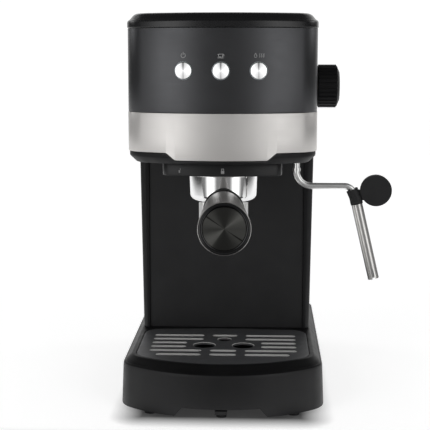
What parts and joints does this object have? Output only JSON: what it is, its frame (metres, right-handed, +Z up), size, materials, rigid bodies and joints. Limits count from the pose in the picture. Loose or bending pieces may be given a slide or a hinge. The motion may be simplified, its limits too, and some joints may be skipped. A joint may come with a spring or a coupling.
{
  "type": "espresso machine",
  "caption": "Black pump espresso machine with a bright brushed band, push buttons, locking filter holder, swinging steam wand and slide-out drip tray.",
  "frame": {"origin": "on the table, under the middle of the outline with the handle and the wand", "axes": "+Z up, +Y towards the back of the machine, -Y towards the person using it, +X towards the knob side"},
  "size_m": [0.2249, 0.3793, 0.331],
  "materials": {
    "black_moulding": "fine-grained satin black plastic",
    "black_gloss": "glossy black plastic",
    "black_panel_metal": "brushed metal, black anodised",
    "bright_brushed": "horizontally brushed",
    "steel_plain": "satin stainless steel",
    "polished_steel": "polished",
    "handle_metal": "satin turned metal",
    "grid_metal": "satin grey coated steel",
    "spun_black": "spun, dark anodised",
    "spun_bright": "spun, bright",
    "cast_alloy": "cast, plain",
    "brass_plain": "machined",
    "rubber_black": "matte",
    "rubber_red": "matte silicone",
    "hose_clear": "translucent silicone",
    "tank_clear": "clear smoked plastic",
    "plastic_white": "plain moulding",
    "plastic_red": "plain moulding",
    "board_green": "lacquered circuit board",
    "element_metal": "heat-tinted sheath",
    "ring_light": "frosted, lit from behind"
  },
  "bodies": {
    "machine": {"top_cover": "black_gloss", "cup_warming_plate": "steel_plain", "front_panel": "black_panel_metal", "trim_band": "bright_brushed", "head_housing": "black_moulding", "head_lower_trim": "black_moulding", "group_housing": "black_moulding", "column_panel": "black_moulding", "side_panel_left": "black_moulding", "side_panel_right": "black_moulding", "rear_wall": "black_moulding", "base_rear": "black_moulding", "bottom_plate": "black_moulding", "feet": "rubber_black", "case_screws": "steel_plain", "cord_gland": "rubber_black", "chassis_frame": "steel_plain", "tank_seat": "black_moulding", "tank_seal": "rubber_red", "intake_hose": "hose_clear", "pump_body": "plastic_white", "pump_coil": "black_moulding", "pump_mounts": "rubber_black", "pressure_hose": "hose_clear", "thermoblock": "cast_alloy", "heating_element": "element_metal", "thermostats": "plastic_white", "steam_valve": "brass_plain", "steam_pipe": "steel_plain", "wand_nut": "black_moulding", "group_head": "cast_alloy", "bayonet_ring": "steel_plain", "group_gasket": "rubber_black", "shower_screen": "steel_plain", "screen_screw": "steel_plain", "light_rings": "ring_light", "button_board": "board_green", "main_board": "board_green"},
    "tray": {"drip_tray": "black_moulding"},
    "grid": {"drip_grid": "grid_metal"},
    "float": {"overflow_float": "plastic_red"},
    "tank": {"water_tank": "tank_clear", "tank_valve": "plastic_white"},
    "lid": {"tank_lid": "black_gloss"},
    "knob": {"steam_knob": "black_gloss", "valve_stem": "brass_plain"},
    "wand": {"steam_wand": "polished_steel", "wand_grip": "rubber_black", "steam_tip": "brass_plain"},
    "sleeve": {"froth_sleeve": "steel_plain"},
    "filter_holder": {"portafilter_bowl": "polished_steel", "filter_basket": "steel_plain", "spout": "polished_steel", "handle_collar": "black_moulding", "portafilter_handle": "handle_metal", "handle_end_disc": "spun_black"},
    "power_button": {"button_power": "spun_bright"},
    "brew_button": {"button_brew": "spun_bright"},
    "steam_button": {"button_steam": "spun_bright"}
  },
  "joints": [
    {"name": "power_press", "type": "slide", "parent": "machine", "child": "power_button", "axis": [0, 1, 0], "range_m": [0, 0.0015], "stiffness_N_per_m": 400},
    {"name": "brew_press", "type": "slide", "parent": "machine", "child": "brew_button", "axis": [0, 1, 0], "range_m": [0, 0.0015], "stiffness_N_per_m": 400},
    {"name": "steam_press", "type": "slide", "parent": "machine", "child": "steam_button", "axis": [0, 1, 0], "range_m": [0, 0.0015], "stiffness_N_per_m": 400},
    {"name": "steam_knob_turn", "type": "hinge", "parent": "machine", "child": "knob", "pos_m": [0.0535, -0.021, 0.2714], "axis": [1, 0, 0], "range_deg": [0, 270]},
    {"name": "holder_lock", "type": "hinge", "parent": "machine", "child": "filter_holder", "pos_m": [-0.0265, -0.037, 0.2], "axis": [0, 0, 1], "range_deg": [-51, 0]},
    {"name": "tray_slide", "type": "slide", "parent": "machine", "child": "tray", "axis": [0, -1, 0], "range_m": [0, 0.15]},
    {"name": "grid_lift", "type": "slide", "parent": "tray", "child": "grid", "axis": [0, 0, 1], "range_m": [0, 0.06]},
    {"name": "float_rise", "type": "slide", "parent": "tray", "child": "float", "axis": [0, 0, 1], "range_m": [0, 0.008]},
    {"name": "tank_lift", "type": "slide", "parent": "machine", "child": "tank", "axis": [0, 0, 1], "range_m": [0, 0.29]},
    {"name": "tank_lid_open", "type": "hinge", "parent": "tank", "child": "lid", "pos_m": [-0.0265, 0.1882, 0.3194], "axis": [-1, 0, 0], "range_deg": [0, 95]},
    {"name": "wand_swing", "type": "hinge", "parent": "machine", "child": "wand", "pos_m": [0.0345, -0.065, 0.2], "axis": [0, 0, 1], "range_deg": [-95, 55]},
    {"name": "sleeve_pull", "type": "slide", "parent": "wand", "child": "sleeve", "axis": [0.2317, 0, -0.9728], "range_m": [0, 0.07]}
  ]
}
